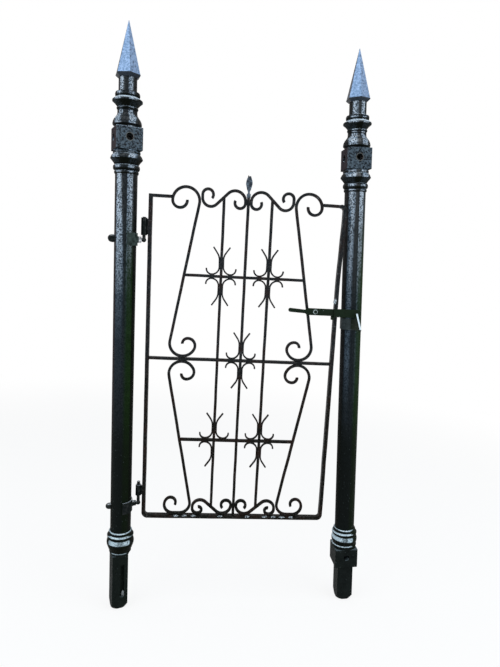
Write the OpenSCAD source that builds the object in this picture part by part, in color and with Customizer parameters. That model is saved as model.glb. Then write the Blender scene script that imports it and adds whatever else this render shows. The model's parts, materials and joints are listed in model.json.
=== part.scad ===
// Antique wrought-iron garden gate hung between two cast-iron posts.
// Origin: centre of the hinge post's foot. X runs to the latch post, Y to the back, Z up.

/* [Posts] */
// diameter of the round shafts
shaft_d = 78; // [75:0.5:80]
// side of the square blocks
block_side = 92; // [90:1:95]
// height of the upper square blocks
block_h = 74.5; // [72:0.5:80]
// height at which the upper blocks begin
block_z = 1730.5; // [1716:0.5:1750]
// side of the square stubs that go into the ground
stub_side = 63; // [58:1:66]
// diameter of the rail holes in the blocks
rail_hole_d = 24; // [20:0.5:26]
// height of the rail holes above the middle of their blocks
hole_up = 4; // [0:0.5:6]
// turn of the hinge post's casting about its own axis, degrees
post_turn = 21; // [14:1:24]
// turn of the latch post about its own axis, degrees
latch_post_turn = 2; // [0:0.5:8]
// how much lower the latch post's casting stands
latch_post_drop = 3; // [0:0.5:8]
// inward lean of the latch post, degrees
post_lean = 2.8; // [2.2:0.05:3]
// distance of the latch post's foot from the latch stile, axis to axis
latch_post_gap = 131.5; // [130:0.5:150]
// how far the latch post stands behind the gate's plane
latch_post_back = 42; // [40:1:50]

/* [Finials] */
// width across the corners of the six-sided finials
finial_d = 90; // [84:1:96]
// height of the pyramids
finial_h = 173; // [160:1:190]

/* [Gate frame] */
// distance between the axes of the two stiles
gate_width = 700; // [680:5:720]
// height from the bottom rail to the top stubs
gate_height = 1221; // [1206:5:1231]
// height of the bottom rail above the posts' feet
bottom_z = 366; // [358:1:372]
// thickness of the frame bars
frame_t = 13; // [12:0.5:14]
// depth of the frame bars, front to back
frame_d = 22; // [20:0.5:23]
// bend radius of the frame's corners
corner_r = 16; // [12:1:20]
// outward bow of the latch stile's upper part
stile_bow = 7; // [0:0.5:9]

/* [Gate infill] */
// side of the square bars
bar = 10; // [9:0.5:11]
// height of the crossbars
cross_h = 10; // [9:0.5:11]
// depth of the upper and lower crossbars
cross_d = 14; // [12:1:16]
// depth of the middle crossbar
mid_d = 18; // [16:1:20]
// distance of the inner upright bars from the centre bar
inner_x = 88; // [85:1:91]
// thickness of the thin cross pieces
twig_t = 4.5; // [4:0.25:5]
// depth of the thin cross pieces
twig_d = 8; // [6:0.5:10]
// width of the spear's blade
spear_w = 24; // [18:1:26]

/* [Hinges] */
// turn of the hinge bolts about the hinge post's axis, degrees
hinge_turn = 17; // [10:1:20]
// diameter of the through-bolts
bolt_d = 13; // [12:0.5:14]
// diameter of the hinge pins
pin_d = 12; // [11:0.5:13]
// distance of the hinge pins from the hinge post's axis
pin_reach = 66; // [65.5:0.5:68]
// outer diameter of the barrels
barrel_d = 22; // [20:0.5:23]
// width of the webs that join the barrels to the stile
web_w = 4; // [2:0.5:6]
// clearance of the pins in the barrels, on the radius
pin_fit = 0.05; // [0.02:0.01:0.1]
// depth of the upper hinge bolt below the gate's top
upper_bolt = 159; // [155:1:170]
// height of the lower hinge bolt above the bottom rail
lower_bolt = 52; // [49:1:61]
// width of the hexagonal nuts across the flats
nut_w = 20; // [18:0.5:21]

/* [Latch] */
// height of the latch pivot above the bottom rail
latch_up = 830.5; // [816:0.5:836]
// thickness of the latch plates
plate_t = 4; // [3:0.5:4.5]
// height of the lever's plate
plate_h = 26; // [24:1:28]
// height of the tongue
tongue_h = 31; // [30:1:34]
// diameter of the pivot rivet
rivet_d = 10; // [8:0.5:11]
// reach of the tongue past the latch stile
tongue_reach = 92; // [85:1:96]
// height of the band that holds the catch
band_h = 42; // [38:1:44]
// thickness of the band
band_t = 3; // [2:0.5:4]
// thickness of the catch
catch_t = 7; // [5:0.5:8]

/* [Hidden] */
$fn = 64;
touch = 0.3;
step = 7;
shaft_r = shaft_d / 2;
top_z = bottom_z + gate_height;
mid_z = bottom_z + gate_height * 0.5155;
high_z = bottom_z + gate_height * 0.773;
low_z = bottom_z + gate_height * 0.257;
half = gate_width / 2;
pin_x = pin_reach * cos(hinge_turn);
gate_y = pin_reach * sin(hinge_turn);
stile_x = pin_x + barrel_d / 2 + web_w + frame_t / 2;
centre_x = stile_x + half;
latch_x = stile_x + gate_width + latch_post_gap;
latch_y = gate_y + latch_post_back;
upper_bolt_z = top_z - upper_bolt;
lower_bolt_z = bottom_z + lower_bolt;
latch_z = bottom_z + latch_up;
seat_z = bottom_z + frame_t / 2 + bar / 2 + touch;
near = bar + touch;
block_top = block_z + block_h;
neck_z = block_top + 164;
saddle_t = 4;
saddle_h = 45;
// half the size of the solids that are cut away around a shaft
cut = 60;
boss_x = shaft_r + 7;
nut_l = 10;
left_ring_z = 270;
right_ring_z = 264;
lower_block_z = 154;
lower_block_h = 75;
stub_shift = 4.5;
collar_z = 11;
collar_h = 14;
blade_t = 6;
front_y = frame_d / 2;
lever_y = front_y + touch + plate_t + 1;
tongue_y = lever_y + plate_t + touch;

iron = [0.16, 0.17, 0.18];
black = [0.1, 0.09, 0.09];
olive = [0.35, 0.36, 0.3];
steel = [0.7, 0.71, 0.72];

// ---- bent bars: stations [x, z, heading] along arcs and tangent lines ----
function arc(c, a, b) =
  let(n = max(1, ceil(abs(b - a) / step)))
  [for (i = [0:n]) let(t = a + (b - a) * i / n) [c[0] + c[2] * sin(t), c[1] - c[2] * cos(t), t]];
function tangent(c, d) =
  let(l = norm([d[0] - c[0], d[1] - c[1]]))
  atan2(d[1] - c[1], d[0] - c[0]) - asin((d[2] - c[2]) / l);
function tighter(c, r, a) = [c[0] + (c[2] - r) * sin(a), c[1] - (c[2] - r) * cos(a), r];
function far(p, q) = norm([p[0] - q[0], p[1] - q[1]]) > 0.05;
function clean(s) = [for (i = [0:len(s) - 1]) if (i == 0 || far(s[i], s[max(0, i - 1)])) s[i]];
function side_of(s, w) = [for (p = s) [p[0] - w * sin(p[2]), p[1] + w * cos(p[2])]];
function back_of(s, w) = let(a = side_of(s, w)) [for (i = [len(a) - 1:-1:0]) a[i]];
function outline(s, w) = concat(side_of(s, w / 2), back_of(s, -w / 2));
function level_z(s, x) = [for (i = [0:len(s) - 2])
  if ((s[i][0] - x) * (s[i + 1][0] - x) <= 0 && s[i][0] != s[i + 1][0])
  s[i][1] + (s[i + 1][1] - s[i][1]) * (x - s[i][0]) / (s[i + 1][0] - s[i][0])][0];
function level_x(s, z) = [for (i = [0:len(s) - 2])
  if ((s[i][1] - z) * (s[i + 1][1] - z) <= 0 && s[i][1] != s[i + 1][1])
  s[i][0] + (s[i + 1][0] - s[i][0]) * (z - s[i][1]) / (s[i + 1][1] - s[i][1])][0];

// upper side bar: arched scroll at the top, straight run, curl on the middle crossbar
arch_r = 48;
arch_x = 224;
curl_x = 220;
curl_r = 48;
curl_z = curl_r + bar / 2 + cross_h / 2 + touch;
upper_side = let(
  a = [arch_x, top_z - 11, arch_r],
  b = [curl_x, mid_z + curl_z, -curl_r],
  t = tangent(a, b),
  c = tighter(b, -28, 114),
  d = tighter(c, -19, 0))
  clean(concat(
    arc(tighter(a, 26, 90), -95, 90), arc(a, 90, t + 360), arc(b, t, -246),
    arc(c, 114, 0), arc(d, 0, -95)));

// lower side bar: the same curl below the middle crossbar, scroll on the bottom rail
foot_x = 211.5;
lower_side = let(
  b = [curl_x, mid_z - curl_z, -curl_r],
  c = tighter(b, -28, -294),
  d = tighter(c, -19, -180),
  e = [foot_x, seat_z + 40, 40],
  t = tangent(b, e),
  g = [237, seat_z + 34, 34],
  h = tighter(g, 20, 135))
  clean(concat(
    arc(d, -85, -180), arc(c, -180, -294), arc(b, -294, t - 360),
    arc(e, t, 0), arc(g, 0, 135), arc(h, 135, 300)));

// top scroll between the side bar's arch and the centre bar
top_s = let(
  out = arch_x - arch_r - near,
  a = [out - 19.5, top_z + 14.5, -19.5],
  b = [out - 30, top_z + 3, -30],
  c = [near + 37, top_z - 4, 37],
  t = tangent(b, c),
  e = [near + 19, top_z - 9.5, 19])
  clean(concat(arc(a, 130, -90), arc(b, -90, t), arc(c, t + 360, 270), arc(e, -90, 115)));

// bottom scroll between the side bar's foot and the centre bar
bottom_s = let(
  out = foot_x - 40 - near,
  a = [out - 19, seat_z + 19, 19],
  b = [out - 30, seat_z + 25, 30],
  c = [near + 34, seat_z + 34, -34],
  t = tangent(b, c),
  e = [near + 18.7, seat_z + 36, -18.7])
  clean(concat(
    arc(tighter(a, 12, -45), -190, -45), arc(a, -45, 90), arc(b, 90, t),
    arc(c, t, 90), arc(e, 90, -135)));

// one thin piece of a cross, in the quarter up and to the right of a crossing
twig = let(
  u = bar / 2 + twig_t / 2 + touch,
  v = cross_h / 2 + twig_t / 2 + touch,
  a = [u + 45, 60, 45],
  p = arc(a, -125, -90))
  clean(concat(
    [[p[0][0] + 26 * cos(55), p[0][1] + 26 * sin(55), -125]], p,
    arc([u + 27, v + 27, 27], -90, 0), arc([u + 27, v + 20, 20], 0, 95)));

// latch stile, bowed outwards above the latch
bow_z = bottom_z + gate_height * 0.733;
bow_top = top_z - corner_r;
function ease(t) = t * t * (3 - 2 * t);
bowed = [for (i = [0:12]) let(t = i / 12)
  [stile_bow * ease(t), bow_z + (bow_top - bow_z) * t,
   atan2(bow_top - bow_z, stile_bow * 6 * t * (1 - t))]];
latch_path = clean(concat(
  arc([-corner_r, bottom_z + corner_r, corner_r], 0, 90), bowed,
  arc([stile_bow - corner_r, top_z - corner_r, corner_r], 90, 180)));

module in_plane(y = 0) translate([centre_x, gate_y + y, 0]) rotate([90, 0, 0]) children();
module bent(s, w, d, y = 0) in_plane(y) linear_extrude(height = d, center = true) polygon(outline(s, w));
module bent_left(s, w, d) in_plane() mirror([1, 0, 0])
  linear_extrude(height = d, center = true) polygon(outline(s, w));
module box(x0, x1, z0, z1, d, y = 0) translate([centre_x + x0, gate_y + y - d / 2, z0])
  cube([x1 - x0, d, z1 - z0]);
// room left round a bent bar where another bar ends on it
module room(s) {
  bent(s, bar + 2 * touch, 60);
  bent_left(s, bar + 2 * touch, 60);
}

// ---- posts ----
function bead(r0, r1, z0, z1) = [for (i = [0:8]) let(t = 180 * i / 8)
  [r0 + (r1 - r0) * sin(t), (z0 + z1) / 2 - (z1 - z0) / 2 * cos(t)]];

module chamfered(side, h, c = 3) {
  a = side / 2;
  b = a - c;
  linear_extrude(height = h)
    polygon([[a, b], [b, a], [-b, a], [-a, b], [-a, -b], [-b, -a], [b, -a], [a, -b]]);
}

// turned shaft from its foot rings, the widest at height z, to the underside of the upper block
module shaft_body(foot, z) rotate_extrude() polygon(concat(
  [[0, foot[0][1]]], foot,
  [[shaft_r + 8.5, z - 17], [shaft_r + 10, z - 13], [shaft_r + 12.2, z - 6], [shaft_r + 12.8, z]],
  [[shaft_r + 12.6, z + 4], [shaft_r + 11.4, z + 10], [shaft_r + 8.8, z + 16], [shaft_r + 8.3, z + 20]],
  [[shaft_r + 10.6, z + 24], [shaft_r + 11.4, z + 27], [shaft_r + 11.2, z + 29.5]],
  [[shaft_r + 8.3, z + 32], [shaft_r + 6.4, z + 36], [shaft_r + 5.4, z + 40], [shaft_r + 5, z + 44]],
  [[shaft_r + 4.2, z + 45.5], [shaft_r + 1, z + 47.5], [shaft_r, z + 50]],
  [[shaft_r, block_z - 81]],
  bead(shaft_r + 0.5, shaft_r + 3.5, block_z - 80, block_z - 69),
  bead(shaft_r + 2, shaft_r + 7.5, block_z - 68, block_z - 49),
  [[shaft_r + 4, block_z - 46], [shaft_r + 7, block_z - 41], [shaft_r + 17, block_z - 29]],
  [[shaft_r + 16.5, block_z - 26], [shaft_r + 12, block_z - 17], [shaft_r + 7, block_z - 12]],
  [[shaft_r + 8.5, block_z - 10], [shaft_r + 8.5, block_z - 4]],
  [[block_side / 2 - 2, block_z + 0.5]],
  [[0, block_z + 0.5]]));

// turned rings and neck between the upper block and the finial
module top_turning() rotate_extrude() polygon(concat(
  [[0, block_top - 0.5], [block_side / 2 - 4, block_top - 0.5], [block_side / 2 - 4, block_top + 4]],
  [[48, block_top + 7], [50, block_top + 10], [50, block_top + 15], [48.3, block_top + 22]],
  [[45.3, block_top + 28], [41.3, block_top + 33.5], [37.4, block_top + 38.5], [34.6, block_top + 44]],
  [[34, block_top + 49], [34, block_top + 58]],
  bead(33.4, 37, block_top + 60, block_top + 68.5),
  [[36, block_top + 71], [44, block_top + 80], [51.5, block_top + 86], [52, block_top + 89]],
  [[51, block_top + 92], [45, block_top + 97], [39, block_top + 100]],
  bead(39, 42.5, block_top + 101, block_top + 117),
  [[31.2, block_top + 119], [31.2, neck_z], [0, neck_z]]));

// square stub with a blunt, rounded foot
module stub(side, h) intersection() {
  translate([-side / 2, -side / 2, 0]) cube([side, side, h]);
  cylinder(h = h, r1 = side * 0.52, r2 = side * 0.52 + h * 0.7);
}

module cross_hole(z, d, turn = 0) translate([0, 0, z]) rotate([0, 90, turn])
  cylinder(h = 200, d = d, center = true);

module left_post() color(iron) rotate([0, 0, post_turn]) difference() {
  union() {
    shaft_body([[33, 214], [36, 222], [40, 229], [41.8, 231], [40.4, 234], [44, 243]], left_ring_z);
    translate([0, 0, block_z]) chamfered(block_side, block_h);
    top_turning();
    translate([-stub_shift, 0, 0]) stub(stub_side - 3, 220);
  }
  cross_hole(block_z + block_h / 2 + hole_up, rail_hole_d);
  cross_hole(block_z + block_h / 2 + hole_up, rail_hole_d, 90);
  cross_hole(upper_bolt_z, bolt_d + 2 * touch, hinge_turn - post_turn);
  cross_hole(lower_bolt_z, bolt_d + 2 * touch, hinge_turn - post_turn);
  translate([-stub_shift + 1, -stub_side / 2, 46]) cube([15, 13, 134]);
}

// frame of the leaning latch post; turned and lowered children belong to its casting
module right_frame() translate([latch_x, latch_y, 0]) rotate([0, -post_lean, 0]) children();
module right_casting() right_frame() translate([0, 0, -latch_post_drop]) children();

module right_post() color(iron) right_casting() rotate([0, 0, latch_post_turn]) difference() {
  lower_top = lower_block_z + lower_block_h;
  union() {
    shaft_body([[shaft_r + 9, lower_top - 0.5], [shaft_r + 9, lower_top + 7], [shaft_r + 11, lower_top + 10],
      [shaft_r + 11, lower_top + 14], [shaft_r + 8.5, lower_top + 17]], right_ring_z);
    translate([0, 0, lower_block_z]) chamfered(block_side, lower_block_h);
    translate([0, 0, block_z]) chamfered(block_side, block_h);
    top_turning();
    translate([0, 0, latch_post_drop]) stub(stub_side, lower_block_z);
  }
  cross_hole(block_z + block_h / 2 + hole_up, rail_hole_d);
  cross_hole(block_z + block_h / 2 + hole_up, rail_hole_d, 90);
  cross_hole(lower_block_z + lower_block_h / 2 + hole_up, rail_hole_d, 90);
}

// six-sided pyramid on a base that is undercut down to the neck
module finial() translate([0, 0, neck_z + touch]) {
  cylinder(h = 8, d1 = finial_d - 20, d2 = finial_d, $fn = 6);
  translate([0, 0, 8]) cylinder(h = 4, d = finial_d, $fn = 6);
  translate([0, 0, 12]) cylinder(h = finial_h, d1 = finial_d - 2, d2 = 2, $fn = 6);
}

module left_finial() color(iron) rotate([0, 0, hinge_turn - 90]) finial();
module right_finial() color(iron) right_casting() rotate([0, 0, -90]) finial();

// ---- hinges ----
module at_bolt(z) translate([0, 0, z]) rotate([0, 0, hinge_turn]) children();
module along(x0, x1, d, f = 64) translate([x0, 0, 0]) rotate([0, 90, 0])
  cylinder(h = x1 - x0, d = d, $fn = f);

module saddle(z) at_bolt(z) difference() {
  union() {
    intersection() {
      cylinder(h = saddle_h, r = shaft_r + touch + saddle_t, center = true);
      translate([0, -cut, -cut]) cube([cut, 2 * cut, 2 * cut]);
    }
    along(shaft_r, boss_x, 24);
  }
  cylinder(h = 2 * cut, r = shaft_r + touch, center = true);
  along(0, 100, bolt_d + 2 * touch);
}

module pintle(z, h) at_bolt(z) {
  along(-shaft_r - 11, pin_reach, bolt_d);
  translate([pin_reach, 0, 0]) sphere(d = bolt_d + 4);
  translate([pin_reach, 0, 0]) cylinder(h = h, d = pin_d);
}

module dome_nut(z, d) at_bolt(z) difference() {
  union() {
    along(-shaft_r - d / 2 + 5.5, -shaft_r + 6, d);
    intersection() {
      translate([-shaft_r - d / 2 + 5.5, 0, 0]) sphere(d = d - 0.5);
      along(-shaft_r - d, -shaft_r - d / 2 + 6.5, d + 4);
    }
  }
  cylinder(h = 2 * cut, r = shaft_r + touch, center = true);
  along(-shaft_r - 11 - touch, 0, bolt_d + 2 * touch);
}

module hex_nut(z) at_bolt(z) difference() {
  along(boss_x + touch, boss_x + touch + nut_l, nut_w / cos(30), 6);
  along(0, 100, bolt_d + 2 * touch);
}

module upper_saddle() color(iron) saddle(upper_bolt_z);
module lower_saddle() color(iron) saddle(lower_bolt_z);
module upper_pintle() color(black) pintle(upper_bolt_z, 82);
module lower_pintle() color(black) pintle(lower_bolt_z, 88);
module upper_dome_nut() color(iron) dome_nut(upper_bolt_z, 28);
module lower_dome_nut() color(iron) dome_nut(lower_bolt_z, 24);
module upper_hex_nut() color(steel) hex_nut(upper_bolt_z);
module lower_hex_nut() color(iron) hex_nut(lower_bolt_z);

module barrel(z, h) translate([pin_x, gate_y, z]) difference() {
  union() {
    cylinder(h = h, d = barrel_d);
    translate([0, -4, 3]) cube([barrel_d / 2 + web_w - touch, 8, h - 6]);
  }
  translate([0, 0, -1]) cylinder(h = h + 2, r = pin_d / 2 + pin_fit);
}
module upper_barrel() color(black) barrel(upper_bolt_z + 17, 62);
module lower_barrel() color(black) barrel(lower_bolt_z + 32, 42);

// ---- gate frame ----
module hinge_stile() color(black) bent(concat([[-half, top_z + bar / 2, -90]],
  arc([-half + corner_r, bottom_z + corner_r, corner_r], -90, 0)), frame_t, frame_d);
module bottom_rail() color(black)
  box(-half + corner_r + touch, half - corner_r - touch,
    bottom_z - frame_t / 2, bottom_z + frame_t / 2, frame_d);
module latch_stile() color(black) bent([for (p = latch_path) [p[0] + half, p[1], p[2]]], frame_t, frame_d);

module top_left_stub() color(black) difference() {
  box(-half + frame_t / 2 + touch, -arch_x - arch_r, top_z - bar / 2, top_z + bar / 2, frame_d - 4);
  room(upper_side);
}
module top_right_stub() color(black) difference() {
  box(arch_x + arch_r, half + stile_bow - corner_r - touch,
    top_z - bar / 2, top_z + bar / 2, frame_d - 4);
  room(upper_side);
}

// ---- upright bars, cut where crossbars cross them ----
module inner_bar(x) difference() {
  box(x - bar / 2, x + bar / 2, level_z(bottom_s, inner_x), level_z(top_s, inner_x), bar);
  room(top_s);
  room(bottom_s);
  for (z = [low_z, mid_z, high_z])
    box(x - bar, x + bar, z - cross_h / 2 - touch, z + cross_h / 2 + touch, 40);
}
module left_inner_bar() color(black) inner_bar(-inner_x);
module right_inner_bar() color(black) inner_bar(inner_x);
module centre_bar() color(black) difference() {
  box(-bar / 2, bar / 2, bottom_z + frame_t / 2 + touch, top_z + 26, bar);
  for (z = [low_z, mid_z, high_z])
    box(-bar, bar, z - cross_h / 2 - touch, z + cross_h / 2 + touch, 40);
}

module crossbar(s, z, d) difference() {
  box(-level_x(s, z), level_x(s, z), z - cross_h / 2, z + cross_h / 2, d);
  room(s);
}
module upper_crossbar() color(black) crossbar(upper_side, high_z, cross_d);
module lower_crossbar() color(black) crossbar(lower_side, low_z, cross_d);
module middle_crossbar() color(black)
  box(-half + frame_t / 2 + touch, half - frame_t / 2 - touch,
    mid_z - cross_h / 2, mid_z + cross_h / 2, mid_d);

// ---- scrolls ----
module upper_left_scroll() color(black) bent_left(upper_side, bar, bar);
module upper_right_scroll() color(black) bent(upper_side, bar, bar);
module lower_left_scroll() color(black) bent_left(lower_side, bar, bar);
module lower_right_scroll() color(black) bent(lower_side, bar, bar);
module top_left_scroll() color(black) bent_left(top_s, bar, bar);
module top_right_scroll() color(black) bent(top_s, bar, bar);
module bottom_left_scroll() color(black) bent_left(bottom_s, bar, bar);
module bottom_right_scroll() color(black) bent(bottom_s, bar, bar);

// ---- crosses; q lists the quarters [x side, z side] that are there ----
whole = [[1, 1], [-1, 1], [1, -1], [-1, -1]];
module cross(x, z, q) translate([x, 0, z]) for (s = q)
  in_plane() mirror([s[0] < 0 ? 1 : 0, 0, 0]) mirror([0, s[1] < 0 ? 1 : 0, 0])
    linear_extrude(height = twig_d, center = true) polygon(outline(twig, twig_t));
module upper_crosses() color(black) {
  cross(-inner_x, high_z, whole);
  cross(inner_x, high_z, whole);
}
module middle_cross() color(black) cross(0, mid_z, whole);
module lower_crosses() color(black) {
  cross(-inner_x, low_z, [[1, 1], [-1, 1], [-1, -1]]);
  cross(inner_x, low_z, whole);
}

// ---- spear with a broken tip, on a collar ----
module spear_collar() color(black) difference() {
  box(-bar / 2 - 2, bar / 2 + 2, top_z + collar_z, top_z + collar_z + collar_h, bar + 4);
  box(-bar / 2 - touch, bar / 2 + touch, top_z, top_z + 40, bar + 2 * touch);
}
spear_half = [[26 + touch, 0.29], [33, 0.33], [40, 0.58], [50, 0.8], [60, 1], [71, 0.9], [78, 0.71], [83, 0.54]];
module spear_blade() color(black) in_plane() linear_extrude(height = blade_t, center = true)
  polygon(concat(
    [for (p = spear_half) [spear_w / 2 * p[1], top_z + p[0]]],
    [[5, top_z + 88], [-1, top_z + 86.5], [-4, top_z + 91]],
    [for (i = [len(spear_half) - 1:-1:0]) [-spear_w / 2 * spear_half[i][1], top_z + spear_half[i][0]]]));

// ---- latch ----
// the pivot keeps its distance from the side bar that the base plate clasps
pivot_x = level_x(upper_side, latch_z) + 26.8;
rest_z = latch_z - tongue_h / 2 - 1 - touch;
module latch_hole(d) translate([centre_x + pivot_x, gate_y, latch_z]) rotate([90, 0, 0])
  cylinder(h = cut, d = d);
module plate(x0, x1, z0, z1, y, t = plate_t) box(x0, x1, z0, z1, t, -y - t / 2);

module latch_base_plate() color(olive) difference() {
  union() {
    plate(level_x(upper_side, latch_z) - 8, half + frame_t / 2, latch_z - 11, latch_z + 11, front_y + touch);
    plate(level_x(upper_side, latch_z) - 6, level_x(upper_side, latch_z) + 8, latch_z - 10, latch_z + 10,
      bar / 2 + touch, front_y - bar / 2 + 0.5);
    plate(half - 19, half - 7, rest_z - 10, latch_z, front_y + touch);
    plate(half - 19, half - 7, rest_z - 10, rest_z, front_y + touch, tongue_y + plate_t - front_y);
  }
  latch_hole(rivet_d + 2 * touch);
}
module latch_rivet() color(olive) translate([centre_x + pivot_x, gate_y, latch_z]) rotate([90, 0, 0]) {
  translate([0, 0, front_y - 4]) cylinder(h = 3.7, d = rivet_d + 4);
  translate([0, 0, front_y - 2]) cylinder(h = lever_y + plate_t - front_y + 3, d = rivet_d);
  translate([0, 0, lever_y + plate_t + 0.5]) cylinder(h = 4, d = rivet_d + 6);
}
module latch_lever() color(olive) difference() {
  in_plane(-lever_y) linear_extrude(height = plate_t) polygon(concat(
    [for (a = [90:15:270]) [pivot_x - 94.5 + 7.5 * cos(a), latch_z + 3.5 + 7.5 * sin(a)]],
    [[pivot_x - 39, latch_z - 7], [pivot_x - 30, latch_z - plate_h / 2],
     [half + 14, latch_z - plate_h / 2], [half + 14, latch_z + plate_h / 2],
     [pivot_x - 25, latch_z + plate_h / 2], [pivot_x - 39, latch_z + 6.5]]));
  latch_hole(rivet_d + 0.1);
}
module latch_tongue() color(olive)
  plate(half - 10, half + tongue_reach, latch_z - tongue_h / 2 - 1, latch_z + tongue_h / 2 - 1, tongue_y);

// ---- keep on the latch post ----
band_z = latch_z - 43;
module keep_band() color(olive) right_frame() translate([0, 0, band_z - band_h / 2]) rotate([0, 0, 150])
  rotate_extrude(angle = 133) translate([shaft_r + touch, 0]) square([band_t, band_h]);

crest_y = tongue_y + plate_t + 5.5;
catch_x = latch_x - latch_z * sin(post_lean) - 5.7;
notch_z = latch_z - tongue_h / 2 - 1 - 6;
module keep_catch() color(olive) difference() {
  translate([catch_x, gate_y, 0]) rotate([0, 0, 11.5]) rotate([90, 0, -90])
    linear_extrude(height = catch_t, center = true)
    polygon([[-20, band_z - 18], [72, band_z - 18], [74, band_z - 11], [crest_y + 5, notch_z + 24],
      [crest_y, notch_z + 24], [crest_y, notch_z], [-20, notch_z]]);
  right_frame() translate([0, 0, band_z]) cylinder(h = 2 * cut, r = shaft_r + 2 * touch + band_t, center = true);
}
module keep_screws() color(olive) right_frame() for (z = [-13, 13])
  difference() {
    translate([0, 0, band_z + z]) rotate([90, 0, 4]) cylinder(h = shaft_r + touch + band_t + 3.5, d = 10);
    translate([0, 0, band_z]) cylinder(h = 2 * cut, r = shaft_r + 2 * touch + band_t, center = true);
  }

left_post();
left_finial();
right_post();
right_finial();
upper_saddle();
upper_pintle();
upper_dome_nut();
upper_hex_nut();
lower_saddle();
lower_pintle();
lower_dome_nut();
lower_hex_nut();
keep_band();
keep_catch();
keep_screws();
hinge_stile();
bottom_rail();
latch_stile();
top_left_stub();
top_right_stub();
centre_bar();
left_inner_bar();
right_inner_bar();
upper_crossbar();
middle_crossbar();
lower_crossbar();
upper_left_scroll();
upper_right_scroll();
lower_left_scroll();
lower_right_scroll();
top_left_scroll();
top_right_scroll();
bottom_left_scroll();
bottom_right_scroll();
upper_crosses();
middle_cross();
lower_crosses();
spear_collar();
spear_blade();
upper_barrel();
lower_barrel();
latch_base_plate();
latch_rivet();
latch_lever();
latch_tongue();
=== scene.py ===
"""Antique garden gate: wrought-iron scrollwork hung between two cast-iron posts."""

import json
import math

import bmesh
import bpy
from mathutils import Matrix, Vector, noise


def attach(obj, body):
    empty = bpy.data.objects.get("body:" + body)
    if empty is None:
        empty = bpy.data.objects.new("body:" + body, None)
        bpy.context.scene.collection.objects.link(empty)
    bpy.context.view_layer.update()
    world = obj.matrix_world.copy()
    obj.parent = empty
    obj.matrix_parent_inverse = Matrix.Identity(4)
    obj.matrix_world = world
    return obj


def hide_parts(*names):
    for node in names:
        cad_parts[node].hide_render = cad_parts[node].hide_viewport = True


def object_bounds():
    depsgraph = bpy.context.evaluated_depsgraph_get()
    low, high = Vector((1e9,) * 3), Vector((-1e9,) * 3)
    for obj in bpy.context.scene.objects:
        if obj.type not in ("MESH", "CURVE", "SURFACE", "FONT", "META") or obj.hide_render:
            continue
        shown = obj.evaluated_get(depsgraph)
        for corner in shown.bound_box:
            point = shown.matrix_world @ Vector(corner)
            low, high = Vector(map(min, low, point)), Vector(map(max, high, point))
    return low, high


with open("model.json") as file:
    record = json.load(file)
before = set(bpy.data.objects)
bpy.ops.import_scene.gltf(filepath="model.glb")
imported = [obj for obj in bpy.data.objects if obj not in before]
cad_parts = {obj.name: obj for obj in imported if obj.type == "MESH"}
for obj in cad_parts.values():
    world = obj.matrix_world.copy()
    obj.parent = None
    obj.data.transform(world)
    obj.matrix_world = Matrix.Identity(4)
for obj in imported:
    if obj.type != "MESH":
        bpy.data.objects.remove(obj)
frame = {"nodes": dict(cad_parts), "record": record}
cad_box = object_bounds()


# ---- The two cast-iron posts ----
# Each is one sand casting: a turned shaft between square blocks, with a square
# stub that stands in the ground. The skin is pitted and painted dark long ago.

class Signal:
    """One shader value; adding, subtracting and multiplying it adds Math nodes."""

    def __init__(self, nodes, socket):
        self.nodes = nodes
        self.socket = socket

    def combine(self, operation, first, second):
        node = self.nodes.add("ShaderNodeMath", {"operation": operation}, {0: first, 1: second})
        return Signal(self.nodes, node.outputs[0])

    def __add__(self, other):
        return self.combine("ADD", self, other)

    def __radd__(self, other):
        return self.combine("ADD", other, self)

    def __sub__(self, other):
        return self.combine("SUBTRACT", self, other)

    def __rsub__(self, other):
        return self.combine("SUBTRACT", other, self)

    def __mul__(self, other):
        return self.combine("MULTIPLY", self, other)

    def __rmul__(self, other):
        return self.combine("MULTIPLY", other, self)


class Nodes:
    """A tree of shader nodes, filled one node at a time."""

    def __init__(self, tree):
        self.tree = tree

    def add(self, kind, settings=None, values=None):
        node = self.tree.nodes.new(kind)
        for key, value in (settings or {}).items():
            setattr(node, key, value)
        for key, value in (values or {}).items():
            value = getattr(value, "socket", value)
            if isinstance(value, bpy.types.NodeSocket):
                self.tree.links.new(value, node.inputs[key])
            else:
                node.inputs[key].default_value = value
        return node


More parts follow.
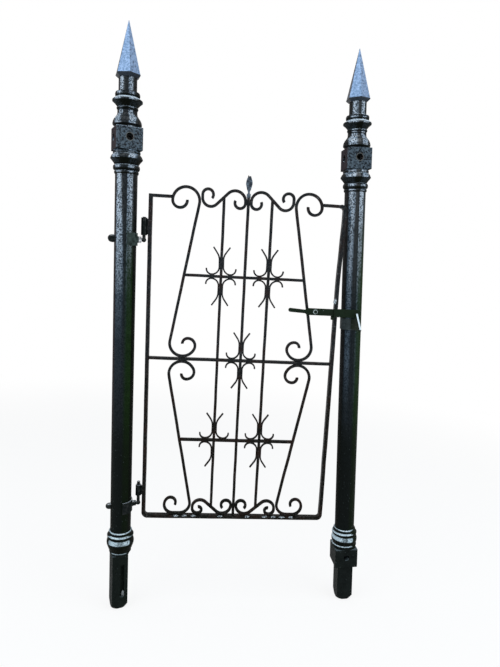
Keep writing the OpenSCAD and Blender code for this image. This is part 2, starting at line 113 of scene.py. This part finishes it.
class Finish(Nodes):
    """A paint or metal finish on object coordinates."""

    def __init__(self, name, roughness=0.5, metallic=0.0, specular=0.5):
        self.material = bpy.data.materials.new(name)
        self.material.use_nodes = True
        super().__init__(self.material.node_tree)
        self.surface = self.tree.nodes["Principled BSDF"]
        self.surface.inputs["Roughness"].default_value = roughness
        self.surface.inputs["Metallic"].default_value = metallic
        self.surface.inputs["Specular IOR Level"].default_value = specular
        self.place = self.add("ShaderNodeTexCoord").outputs["Object"]
        axes = self.add("ShaderNodeSeparateXYZ", None, {0: self.place})
        self.x, self.y, self.z = (Signal(self, axes.outputs[i]) for i in range(3))
        normal = self.add("ShaderNodeTexCoord").outputs["Normal"]
        sides = self.add("ShaderNodeSeparateXYZ", None, {0: normal})
        self.rightward, self.backward, self.upward = (Signal(self, sides.outputs[i]) for i in range(3))

    def mottle(self, size, detail=3.0, roughness=0.55):
        """Cloudy noise from 0 to 1 whose patches are about size metres across."""
        node = self.add("ShaderNodeTexNoise", {"noise_dimensions": "3D"},
                        {"Vector": self.place, "Scale": 1 / size, "Detail": detail,
                         "Roughness": roughness})
        return Signal(self, node.outputs[0])

    def step(self, value, low, high):
        """0 up to low and 1 from high, with a soft rise between; low may be the larger."""
        node = self.add("ShaderNodeMapRange", {"interpolation_type": "SMOOTHSTEP"},
                        {"Value": value, "From Min": low, "From Max": high})
        return Signal(self, node.outputs[0])

    def tint(self, factor, first, second):
        """The first colour, turning into the second as the factor goes from 0 to 1."""
        node = self.add("ShaderNodeMix", {"data_type": "RGBA"}, {0: factor})
        for slot, colour in ((6, first), (7, second)):
            if isinstance(colour, tuple):
                node.inputs[slot].default_value = (*colour, 1)
            else:
                self.tree.links.new(colour, node.inputs[slot])
        return node.outputs[2]

    def band(self, value, low, high, soft):
        """1 where the value lies between low and high, fading to 0 outside."""
        return self.step(value, low - soft, low + soft) * self.step(value, high + soft, high - soft)

    def flecks(self, size, low, high):
        """Sparse round specks whose cells are about size metres across."""
        cells = self.add("ShaderNodeTexVoronoi", {"feature": "F1"},
                         {"Vector": self.place, "Scale": 1 / size, "Randomness": 1.0})
        return self.step(Signal(self, cells.outputs["Distance"]), high, low)

    def paint(self, colour):
        self.tree.links.new(colour, self.surface.inputs["Base Color"])

    def gloss(self, value):
        self.tree.links.new(value.socket, self.surface.inputs["Roughness"])

    def lacquer(self, value):
        self.tree.links.new(value.socket, self.surface.inputs["Coat Weight"])

    def relief(self, height, depth, under=None):
        """Fine hollows and lumps up to depth metres, on top of an earlier relief."""
        node = self.add("ShaderNodeBump", None, {"Height": height, "Distance": depth, "Strength": 1.0})
        if under is not None:
            self.tree.links.new(under, node.inputs["Normal"])
        self.tree.links.new(node.outputs[0], self.surface.inputs["Normal"])
        return node.outputs[0]


def cast_iron_finish():
    """Dark paint on rough iron, with painted highlights in long pale bands above, painted shade and a
    painted green reflection on the sides, darker below.
    """
    block_low, block_high = 1.722, 1.803
    stub_top = 0.232
    roll_low, roll_high = 0.2715, 0.2865
    foot_groove = (0.305, 0.3135)
    shaded_grooves = ((1.662, 1.666), (1.681, 1.685), (1.811, 1.8155), (1.860, 1.8645), (1.919, 1.924))
    rim_inside, rim_outside = 0.01183, 0.01449
    latch_post_rings_lower = 0.009
    black = (0.0012, 0.0014, 0.0012)

    finish = Finish("cast_iron_with_painted_light", specular=0.02)
    finish.surface.inputs["Coat Roughness"].default_value = 0.24
    finish.surface.inputs["Coat IOR"].default_value = 2.0
    pits = finish.mottle(0.0044, 2.0, 0.6)
    lumps = finish.mottle(0.022, 3.0, 0.6)
    clouds = finish.mottle(0.16, 3.0, 0.6)
    scratches = finish.mottle(0.006, 3.0, 0.7)

    # Where on the posts: how high, which post, and which way the skin faces.
    height = finish.z + (clouds - 0.5) * 0.35
    above = finish.step(height, 1.16, 1.66)
    below = finish.step(height, 0.95, 0.60)
    latch_side = finish.step(finish.x, 0.40, 0.45)
    level = finish.z + latch_side * latch_post_rings_lower
    facing = finish.rightward + latch_side * 0.30
    flat_front = finish.band(finish.upward, -0.2, 0.2, 0.02)
    shaded_underside = finish.step(finish.upward, 0.0, -0.28)
    upper_block = finish.band(finish.z, block_low, block_high, 0.002)
    lower_block = finish.band(finish.z, 0.0, stub_top, 0.003)
    foot_rings = finish.step(height, 0.80, 0.60)

    # Two long painted highlight bands down each shaft, reflections of bright sky to either side, with a
    # darker strip between.
    left_highlight = finish.step(facing - latch_side * 0.29, -0.79, -0.66)
    left_highlight_end = finish.step(facing + above * above * (0.3 - latch_side * 0.4), 0.10, -0.16)
    right_highlight = finish.band(facing - latch_side * 0.24, 0.25, 0.67, 0.04)
    highlight_bands = left_highlight * left_highlight_end + right_highlight * 0.75
    gap_between_highlights = finish.band(facing, -0.06, 0.36, 0.04)
    specks = finish.step(pits + lumps * 0.25, 0.585, 0.645)
    highlight_dots = finish.step(height + latch_side * 0.22, 1.00, 1.48) * specks * highlight_bands
    highlight_tint = finish.step(height + latch_side * 0.10, 0.80, 1.35) * highlight_bands
    skin = finish.tint(pits, (0.002, 0.003, 0.004), (0.016, 0.022, 0.026))
    # Painted highlight: the bands get a pale tint and bright dots, as sky reflected in pitted paint.
    coat = finish.tint(above * highlight_bands * 0.08 + highlight_tint * 0.15, skin, (0.09, 0.145, 0.205))
    coat = finish.tint(highlight_dots * (0.24 + above * 0.60), coat, (0.29, 0.39, 0.50))

    # Painted reflection of green ground on the right, painted shade on the edges and the left side, and
    # darker towards the bottom.
    green = finish.tint(lumps, (0.002, 0.007, 0.001), (0.010, 0.032, 0.003))
    green_reflection = finish.step(finish.rightward, 0.05, 0.45) * finish.step(height, 1.60, 1.30)
    coat = finish.tint(green_reflection * 0.85, coat, green)
    # Painted shade on the hinge post's right edge.
    shaded_right_edge = finish.step(finish.rightward, 0.74, 0.82) * (1 - latch_side)
    coat = finish.tint(shaded_right_edge * 0.9, coat, black)
    brown = finish.tint(lumps, (0.004, 0.003, 0.003), (0.022, 0.014, 0.015))
    # Painted shade on the left side, brown on the hinge post and black on the latch post.
    shaded_left_side = finish.step(facing - latch_side * 0.22, -0.66, -0.80)
    coat = finish.tint(shaded_left_side * 0.85, coat, finish.tint(latch_side, brown, (0.0012, 0.0012, 0.0015)))
    coat = finish.tint(below * 0.75, coat, (0.0042, 0.0052, 0.0036))
    # Painted shade on the undersides.
    coat = finish.tint(shaded_underside * 0.94, coat, (0.0035, 0.0040, 0.0022))

    # Upward ledges and the round roll at the foot get painted pale highlights; the grooves get painted
    # shade.
    front = finish.band(facing, -0.72, 0.76, 0.06)
    roll = finish.band(level, roll_low, roll_high, 0.0012) * (1 - gap_between_highlights * specks * 0.8)
    ledge_highlights = finish.step(finish.upward + foot_rings * 0.30, 0.60, 0.78)
    ledge_highlights = ledge_highlights * (1 - foot_rings * (1 - finish.band(facing, -0.60, 0.62, 0.08)))
    ledge_highlights = (ledge_highlights + roll - ledge_highlights * roll) * (1 - finish.band(level, *foot_groove, 0.001))
    ledge_highlights = ledge_highlights * (1 - foot_rings + foot_rings * front)
    ledge_highlight_patches = finish.step(pits + lumps * 0.3, 0.48, 0.66)
    ledge_highlight_colour = finish.tint(foot_rings, (0.56, 0.66, 0.74), (0.46, 0.58, 0.64))
    coat = finish.tint(ledge_highlights * (0.25 + ledge_highlight_patches * 0.7), coat, ledge_highlight_colour)
    # Painted shade in the grooves.
    grime_and_groove_shade = sum(finish.band(level, low, high, 0.001) for low, high in shaded_grooves)
    coat = finish.tint(grime_and_groove_shade * 0.9, coat, (0.003, 0.0035, 0.0035))

    # Upper blocks are slate grey, with brown painted shade on their left side and a worn rim at each
    # hole.
    slate = finish.tint(finish.step(scratches, 0.38, 0.62), (0.003, 0.004, 0.006), (0.088, 0.118, 0.145))
    coat = finish.tint(upper_block * flat_front, coat, slate)
    shaded_side = finish.step(finish.rightward, -0.7, -0.85) * upper_block
    rust = finish.tint(lumps, (0.004, 0.003, 0.003), (0.030, 0.016, 0.020))
    coat = finish.tint(shaded_side * 0.92, coat, rust)
    for mount in frame["record"]["mounts"]:
        if mount["name"] in ("left_block_through", "right_block_through"):
            centre, axis = Vector(mount["pos_m"]), Vector(mount["axis"])
            across = (finish.x - centre.x) * axis.y - (finish.y - centre.y) * axis.x
            off_z = finish.z - centre.z
            rim = finish.band(across * across + off_z * off_z, rim_inside ** 2, rim_outside ** 2, 2.5e-5)
            coat = finish.tint(rim * flat_front * upper_block * 0.55, coat, (0.15, 0.14, 0.12))

    # The stubs are near black, with a few small chips.
    stub_paint = finish.tint(lumps, (0.002, 0.003, 0.003), (0.015, 0.019, 0.017))
    coat = finish.tint(lower_block * 0.8, coat, stub_paint)
    chips = finish.flecks(0.013, 0.05, 0.11) * below
    finish.paint(finish.tint(chips * 0.8, coat, (0.09, 0.11, 0.11)))

    # The coat's weight follows the painted highlight bands and ledges, a painted sheen, and is cut on the
    # painted shade of undersides and grooves.
    sheen = above * (0.20 + specks * 0.65) * (0.10 + highlight_bands * 0.9) + above * gap_between_highlights * latch_side * 0.15
    sheen = (sheen + specks * 0.05 * (1 - below)) * (1 - green_reflection * 0.6)
    sheen = sheen * (1 - upper_block * 0.85)
    sheen = sheen + ledge_highlights * (0.30 + specks * 0.4) * (1 - lower_block)
    finish.lacquer(sheen * (1 - shaded_underside) * (1 - grime_and_groove_shade))
    finish.gloss(0.42 + lumps * 0.2 + upper_block * 0.15)
    grain = finish.relief(lumps, 0.0022)
    finish.relief(pits, 0.0026, grain)
    return finish.material


def pyramid_finish():
    """Faces painted pale blue-grey as reflected sky, dimmer on the right, with painted shade on the left
    face and the base.
    """
    finish = Finish("finial_painted_sky", roughness=0.5, specular=0.15)
    pits = finish.mottle(0.007, 3.0, 0.6)
    pores = finish.flecks(0.010, 0.18, 0.34)
    # Painted reflection of the sky: pale blue-grey faces, dimmer on the faces turned right.
    pale = finish.tint(finish.step(pits, 0.33, 0.67), (0.15, 0.245, 0.395), (0.35, 0.49, 0.73))
    shaded_right_faces = finish.step(finish.rightward, 0.25, 0.5)
    coat = finish.tint(shaded_right_faces * 0.45, pale, (0.11, 0.13, 0.19))
    coat = finish.tint(pores * (0.18 + shaded_right_faces * 0.5), coat, (0.03, 0.04, 0.06))
    # Painted shade on the left face and on the base below the faces.
    shaded_left_face = finish.step(finish.rightward, -0.55, -0.75)
    coat = finish.tint(shaded_left_face * 0.95, coat, (0.022, 0.020, 0.024))
    base = finish.step(finish.upward, 0.12, 0.05)
    coat = finish.tint(base * 0.95, coat, (0.008, 0.009, 0.010))
    finish.paint(coat)
    finish.gloss(0.38 + pits * 0.25)
    finish.relief(pits, 0.0014)
    return finish.material


def soft_copy(name, edge, wave, smooth, swell):
    """The node's own shape as one merged mesh, with worn edges, ready to show."""
    waves_per_metre = 14
    longest_straight = 0.05
    mesh = frame["nodes"][name].data.copy()
    mesh.name = name + "_worn"
    shape = bmesh.new()
    shape.from_mesh(mesh)
    bmesh.ops.remove_doubles(shape, verts=shape.verts, dist=2e-5)
    bmesh.ops.dissolve_limit(shape, angle_limit=math.radians(0.6), verts=shape.verts, edges=shape.edges)
    if wave:
        for _ in range(4):
            long_edges = [e for e in shape.edges if e.calc_length() > longest_straight]
            if not long_edges:
                break
            bmesh.ops.subdivide_edges(shape, edges=long_edges, cuts=1)
        for vertex in shape.verts:
            place = Vector((vertex.co.x, 0, vertex.co.z)) * waves_per_metre
            vertex.co.x += wave * noise.noise(place)
            vertex.co.z += wave * noise.noise(place + Vector((7.1, 3.3, 1.9)))
    if swell:
        shape.normal_update()
        for vertex in shape.verts:
            vertex.co += vertex.normal * swell
    if edge:
        corners = [e for e in shape.edges if len(e.link_faces) == 2
                   and e.calc_face_angle(0) > math.radians(50)]
        bmesh.ops.bevel(shape, geom=corners, offset=edge, offset_type="OFFSET", affect="EDGES",
                        segments=2, profile=0.5, material=-1, clamp_overlap=True)
    for face in shape.faces:
        face.smooth = True
    for e in shape.edges:
        e.smooth = len(e.link_faces) == 2 and e.calc_face_angle(0) < math.radians(smooth)
    shape.to_mesh(mesh)
    shape.free()
    piece = bpy.data.objects.new(name + "_worn", mesh)
    bpy.context.scene.collection.objects.link(piece)
    return piece


def show(name, body, material, edge, wave=0.0, smooth=38, swell=0.0):
    """Shows a node's worn copy in place of its plain solid."""
    piece = soft_copy(name, edge, wave, smooth, swell)
    piece.data.materials.clear()
    piece.data.materials.append(material)
    weights = piece.modifiers.new("flat_faces", "WEIGHTED_NORMAL")
    weights.mode = "FACE_AREA"
    weights.keep_sharp = True
    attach(piece, body)
    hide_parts(name)


cast_skin = cast_iron_finish()
for post in ("left_post", "right_post"):
    show(post, "posts", cast_skin, 0.0, smooth=32)
spike_skin = pyramid_finish()
for spike in ("left_finial", "right_finial"):
    show(spike, "posts", spike_skin, 0.0010)


# ---- Hinge fittings on the hinge post ----
# A through-bolt holds a half-round saddle against the shaft, with a domed nut
# on the outside and a hexagonal nut under the upright pin of the pintle.

def fitting_finish():
    """Near-black iron with a patchy painted highlight and painted sheen on its upward-facing tops."""
    finish = Finish("fitting_iron", specular=0.03)
    finish.surface.inputs["Coat Roughness"].default_value = 0.16
    finish.surface.inputs["Coat IOR"].default_value = 2.2
    grime_and_groove_shade = finish.mottle(0.012, 3.0)
    coat = finish.tint(grime_and_groove_shade, (0.002, 0.003, 0.003), (0.011, 0.015, 0.014))
    # Painted highlight on upward-facing tops, broken into patches.
    top_highlight = finish.step(finish.upward, 0.62, 0.88)
    bare = top_highlight * finish.step(grime_and_groove_shade, 0.40, 0.5)
    finish.paint(finish.tint(bare * 0.7, coat, (0.42, 0.47, 0.51)))
    oily = finish.step(grime_and_groove_shade, 0.45, 0.65)
    finish.lacquer(oily * 0.10 + finish.step(finish.upward, 0.50, 0.85) * 0.6)
    finish.gloss(0.26 + grime_and_groove_shade * 0.25)
    finish.relief(finish.mottle(0.004, 2.0), 0.0005)
    return finish.material


def saddle_finish():
    """Grey-green paint, blotched."""
    finish = Finish("green_grey_paint", specular=0.04)
    grime_and_groove_shade = finish.mottle(0.014, 3.0)
    blotches = finish.step(grime_and_groove_shade, 0.3, 0.7)
    finish.paint(finish.tint(blotches, (0.008, 0.013, 0.011), (0.048, 0.066, 0.060)))
    finish.gloss(0.45 + grime_and_groove_shade * 0.25)
    finish.relief(grime_and_groove_shade, 0.0006)
    return finish.material


def bright_finish(name):
    """Bare steel with dull scuffs."""
    finish = Finish(name, roughness=0.28, metallic=1.0)
    scuffs = finish.mottle(0.006, 2.0)
    finish.paint(finish.tint(finish.step(scuffs, 0.35, 0.65), (0.14, 0.15, 0.16), (0.62, 0.64, 0.67)))
    finish.gloss(0.2 + scuffs * 0.3)
    return finish.material


fitting_skin = fitting_finish()
for fitting in ("upper_pintle", "lower_pintle", "upper_dome_nut", "lower_dome_nut",
                "lower_hex_nut", "lower_saddle"):
    show(fitting, "posts", fitting_skin, 0.0006)
show("upper_saddle", "posts", saddle_finish(), 0.0008)
show("upper_hex_nut", "posts", bright_finish("bright_steel"), 0.0008)


# ---- Gate frame, bars and scrollwork ----
# Forged bars bent hot, welded where they touch, under old black paint that has
# let brown rust through.

def gate_finish():
    """Old black paint, greyer in the upper half and warm below, with bare and rusty spots."""
    finish = Finish("rusty_black_paint", specular=0.015)
    finish.surface.inputs["Coat Roughness"].default_value = 0.28
    patches = finish.mottle(0.05, 4.0, 0.65)
    grain = finish.mottle(0.006, 3.0, 0.6)
    rust = finish.step(patches + grain * 0.3, 0.60, 0.80)
    blue = finish.step(finish.mottle(0.11, 3.0, 0.6), 0.52, 0.70)
    lower_half = finish.step(finish.z, 1.10, 0.80)
    coat = finish.tint(grain, (0.006, 0.007, 0.0075), (0.024, 0.026, 0.028))
    coat = finish.tint(blue * 0.5, coat, (0.007, 0.013, 0.015))
    warm_black = finish.tint(grain, (0.002, 0.002, 0.0015), (0.009, 0.008, 0.005))
    coat = finish.tint(lower_half * 0.85, coat, warm_black)
    coat = finish.tint(rust * 0.5, coat, (0.030, 0.015, 0.011))
    bare = finish.step(grain + patches * 0.35, 0.85, 0.93)
    coat = finish.tint(bare * (0.75 - lower_half * 0.45), coat, (0.20, 0.23, 0.25))
    finish.paint(coat)
    finish.lacquer((0.03 + finish.step(grain + patches * 0.4, 0.68, 0.84) * 0.5) * (1 - rust * 0.8))
    finish.gloss(0.34 + rust * 0.35)
    finish.relief(grain, 0.0009)
    return finish.material


def spear_finish():
    """Grey paint on the spear, left black where its tip broke off."""
    broken_from, broken_to = 1.668, 1.676
    finish = Finish("spear_paint", specular=0.10)
    grime_and_groove_shade = finish.mottle(0.010, 3.0)
    coat = finish.tint(finish.step(grime_and_groove_shade, 0.35, 0.65), (0.026, 0.033, 0.041), (0.120, 0.150, 0.185))
    broken_tip = finish.step(finish.z, broken_from, broken_to)
    finish.paint(finish.tint(broken_tip, coat, (0.006, 0.006, 0.007)))
    finish.gloss(0.35 + grime_and_groove_shade * 0.2)
    finish.relief(grime_and_groove_shade, 0.0008)
    return finish.material


bar_edge, bar_coat = 0.0018, 0.0004
wire_edge, wire_coat = 0.0009, 0.0009
bend = 0.0008
gate_skin = gate_finish()
for bar in frame["record"]["behaviour"]["bodies"]["gate"]:
    if bar.startswith(("spear", "latch_base", "latch_rivet")) or bar.endswith("barrel"):
        continue
    if bar.endswith(("cross", "crosses")):
        show(bar, "gate", gate_skin, wire_edge, wave=bend, swell=wire_coat)
    else:
        show(bar, "gate", gate_skin, bar_edge, wave=bend, swell=bar_coat)
spear_skin = spear_finish()
for part in ("spear_collar", "spear_blade"):
    show(part, "gate", spear_skin, 0.0008)
for barrel in ("upper_barrel", "lower_barrel"):
    show(barrel, "gate", fitting_skin, 0.0008)


# ---- Latch and keep ----
# Flat olive-painted plates: a bar that lifts about its rivet, a long tongue
# lapped on it, and on the latch post a band with a sloped catch.

def latch_finish(name, dark, light):
    """Dull paint, worn brown in patches, with a painted glint ring around the rivet and a painted
    highlight on slopes facing up and forward.
    """
    ring_inside, ring_outside = 0.00663, 0.00872
    finish = Finish(name, specular=0.04)
    patches = finish.mottle(0.03, 4.0, 0.65)
    grain = finish.mottle(0.005, 3.0)
    worn = finish.step(patches + grain * 0.3, 0.6, 0.85)
    coat = finish.tint(worn * 0.6, finish.tint(grain, dark, light), (0.009, 0.008, 0.006))
    # A broken ring of painted glint around the rivet's head.
    corners = [Vector(corner) for corner in frame["nodes"]["latch_rivet"].bound_box]
    rivet = (corners[0] + corners[6]) / 2
    off_x, off_z = finish.x - rivet.x, finish.z - rivet.z
    rivet_glint = finish.band(off_x * off_x + off_z * off_z, ring_inside ** 2, ring_outside ** 2, 9e-6)
    coat = finish.tint(rivet_glint * finish.step(grain, 0.38, 0.48) * 0.9, coat, (0.50, 0.56, 0.54))
    nicks = finish.flecks(0.016, 0.06, 0.14)
    coat = finish.tint(nicks * 0.6, coat, (0.20, 0.22, 0.22))
    # Painted highlight on slopes that face up and forward, such as the catch's front edge.
    slope_highlight = finish.step(finish.upward, 0.35, 0.5) * finish.step(finish.backward, -0.5, -0.7)
    coat = finish.tint(slope_highlight * 0.95, coat, (0.66, 0.74, 0.78))
    finish.paint(coat)
    finish.gloss(0.38 + worn * 0.25)
    finish.relief(grain, 0.0006)
    return finish.material


plate_edge, bar_end_edge, small_edge = 0.0004, 0.0008, 0.0006
latch_skin = latch_finish("olive_paint", (0.005, 0.010, 0.005), (0.014, 0.025, 0.014))
band_skin = latch_finish("dark_band", (0.005, 0.007, 0.007), (0.090, 0.112, 0.114))
for piece in ("latch_base_plate", "latch_rivet"):
    show(piece, "gate", latch_skin, plate_edge)
for piece in ("latch_lever", "latch_tongue"):
    show(piece, "latch", latch_skin, bar_end_edge)
show("keep_band", "posts", band_skin, small_edge)
show("keep_catch", "posts", latch_skin, small_edge)
show("keep_screws", "posts", bright_finish("worn_screws"), small_edge)


# ---- Welds and mortar ----
# Beads of weld metal where the scrolls stand on the bottom rail and on the latch
# stile, and a dab of old mortar left in the slot of the hinge post's stub.

def dab(name, body, material, centre, size, seed):
    """A small uneven lump, about size metres across, stuck on at centre."""
    unevenness = 0.45
    shape = bmesh.new()
    bmesh.ops.create_icosphere(shape, subdivisions=3, radius=0.5)
    for vertex in shape.verts:
        vertex.co *= 1 + unevenness * noise.noise(vertex.co * 4 + Vector((seed, 2.3 * seed, 0)))
        vertex.co = Vector(centre) + Vector(vertex.co[i] * size[i] for i in range(3))
    for face in shape.faces:
        face.smooth = True
    mesh = bpy.data.meshes.new(name)
    shape.to_mesh(mesh)
    shape.free()
    mesh.materials.append(material)
    piece = bpy.data.objects.new(name, mesh)
    bpy.context.scene.collection.objects.link(piece)
    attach(piece, body)


def weld_finish():
    """Dark weld metal with painted glints."""
    finish = Finish("weld_metal", specular=0.2)
    grain = finish.mottle(0.004, 3.0)
    glint = finish.step(grain, 0.46, 0.60)
    finish.paint(finish.tint(glint, (0.012, 0.013, 0.013), (0.60, 0.66, 0.70)))
    finish.gloss(0.35 + grain * 0.2)
    return finish.material


def mortar_finish():
    """Rough pale grey mortar."""
    finish = Finish("old_mortar", roughness=0.9, specular=0.2)
    finish.paint(finish.tint(finish.mottle(0.006, 3.0), (0.07, 0.075, 0.075), (0.28, 0.29, 0.29)))
    return finish.material


def corners_of(node):
    return [vertex.co for vertex in frame["nodes"][node].data.vertices]


# One weld for each pitch along the rail on which a scroll touches down.
weld_pitch = 0.035
touching = 0.0008
foot_weld = (0.024, 0.006, 0.0075)
stile_weld, stile_weld_z = (0.011, 0.006, 0.020), 1.237
weld_skin = weld_finish()
feet = set()
for scroll in ("bottom_left_scroll", "bottom_right_scroll", "lower_left_scroll", "lower_right_scroll"):
    lowest = min(corner.z for corner in corners_of(scroll))
    for corner in corners_of(scroll):
        if corner.z < lowest + touching:
            feet.add(round(corner.x / weld_pitch))
rail_front = min(corner.y for corner in corners_of("hinge_stile"))
scroll_foot = min(corner.z for corner in corners_of("bottom_left_scroll"))
for count, foot in enumerate(sorted(feet)):
    dab(f"foot_weld_{count}", "gate", weld_skin,
        (foot * weld_pitch, rail_front + 0.0015, scroll_foot - 0.003), foot_weld, count + 1.0)
nearest = sorted(corners_of("latch_stile"), key=lambda corner: abs(corner.z - stile_weld_z))[:4]
stile_middle = sum(corner.x for corner in nearest) / 4
stile_front = min(corner.y for corner in nearest)
dab("stile_weld", "gate", weld_skin,
    (stile_middle, stile_front, stile_weld_z), stile_weld, 5.0)

mortar_place, mortar_dab = (0.0166, -0.0215, 0.060), (0.012, 0.009, 0.022)
dab("mortar", "posts", mortar_finish(), mortar_place, mortar_dab, 3.0)


# ---- Floor, light and camera ----
# A plain white studio: a broad pale floor, soft lamps, and a standing view.

whole_low, whole_high = Vector(cad_box[0]), Vector(cad_box[1])
floor_reach = 30
floor_gap = 0.002
floor_mesh = bpy.data.meshes.new("floor")
floor_shape = bmesh.new()
bmesh.ops.create_grid(floor_shape, x_segments=1, y_segments=1, size=floor_reach)
bmesh.ops.translate(floor_shape, verts=floor_shape.verts, vec=(0, 0, whole_low.z - floor_gap))
floor_shape.to_mesh(floor_mesh)
floor_shape.free()
floor = bpy.data.objects.new("floor", floor_mesh)
bpy.context.scene.collection.objects.link(floor)
shaded_within, white_beyond = 1.58, 4.0
floor_glow = 0.86
pale = Finish("pale_floor", roughness=0.9, specular=0.1)
pale.surface.inputs["Base Color"].default_value = (0.85, 0.85, 0.85, 1)
path = pale.add("ShaderNodeLightPath")
looked_at = Signal(pale, path.outputs["Is Camera Ray"])
mirrored = Signal(pale, path.outputs["Is Glossy Ray"]) + Signal(pale, path.outputs["Is Transmission Ray"])
far = pale.step(pale.x * pale.x + pale.y * pale.y, shaded_within ** 2, white_beyond ** 2)
glow = pale.add("ShaderNodeEmission", None, {"Color": (1, 1, 1, 1), "Strength": 1.0})
seen = (looked_at + mirrored) * (floor_glow + far * (1 - floor_glow))
blend = pale.add("ShaderNodeMixShader", None, {0: seen, 1: pale.surface.outputs[0], 2: glow.outputs[0]})
pale.tree.links.new(blend.outputs[0], pale.tree.nodes["Material Output"].inputs[0])
floor.data.materials.append(pale.material)

world = bpy.data.worlds.new("studio")
bpy.context.scene.world = world
world.use_nodes = True
studio = Nodes(world.node_tree)
daylight = studio.tree.nodes["Background"]
daylight.inputs["Color"].default_value = (0.80, 0.90, 1.0, 1)
daylight.inputs["Strength"].default_value = 0.4
white = studio.add("ShaderNodeBackground", None, {"Color": (1, 1, 1, 1), "Strength": 1.0})
ray = studio.add("ShaderNodeLightPath")
shown = sum(Signal(studio, ray.outputs[kind])
            for kind in ("Is Camera Ray", "Is Glossy Ray", "Is Transmission Ray"))
either = studio.add("ShaderNodeMixShader", None, {0: shown, 1: daylight.outputs[0], 2: white.outputs[0]})
studio.tree.links.new(either.outputs[0], studio.tree.nodes["World Output"].inputs[0])


def lamp(name, power, size, place, aim, colour):
    light = bpy.data.lights.new(name, "AREA")
    light.energy = power
    light.shape = "RECTANGLE"
    light.size, light.size_y = size
    light.color = colour
    lamp_object = bpy.data.objects.new(name, light)
    lamp_object.location = place
    lamp_object.rotation_euler = (Vector(aim) - Vector(place)).to_track_quat("-Z", "Y").to_euler()
    bpy.context.scene.collection.objects.link(lamp_object)


cool, cooler = (0.90, 0.96, 1.0), (0.86, 0.94, 1.0)
middle = (whole_low + whole_high) / 2
lamp("left_lamp", 56, (3.6, 2.6), (-2.3, -1.6, 1.9), (0.3, 0, 1.3), cooler)
lamp("right_lamp", 56, (3.2, 2.6), (3.4, -1.2, 1.9), (0.6, 0, 1.3), cooler)
lamp("top_lamp", 90, (4.0, 3.0), (0.4, -0.6, 4.3), middle, cool)

# The view of a person who stands before the gate and looks slightly down, a little tilted.
eye = Vector((0.30982, -1.96227, 1.40251))
yaw, pitch, tilt = (math.radians(angle) for angle in (4.495, 8.607, 3.017))
ahead = Vector((math.sin(yaw) * math.cos(pitch), math.cos(yaw) * math.cos(pitch), -math.sin(pitch)))
sideways = Vector((math.cos(yaw), -math.sin(yaw), 0))
upwards = sideways.cross(ahead)
right = math.cos(tilt) * sideways + math.sin(tilt) * upwards
up = -math.sin(tilt) * sideways + math.cos(tilt) * upwards
camera_data = bpy.data.cameras.new("camera")
camera_data.sensor_fit = "VERTICAL"
camera_data.sensor_height = 36
camera_data.lens = 28.7946
camera = bpy.data.objects.new("camera", camera_data)
camera.matrix_world = Matrix.Translation(eye) @ Matrix((right, up, -ahead)).transposed().to_4x4()
bpy.context.scene.collection.objects.link(camera)
bpy.context.scene.camera = camera
bpy.context.scene.view_settings.view_transform = "Standard"
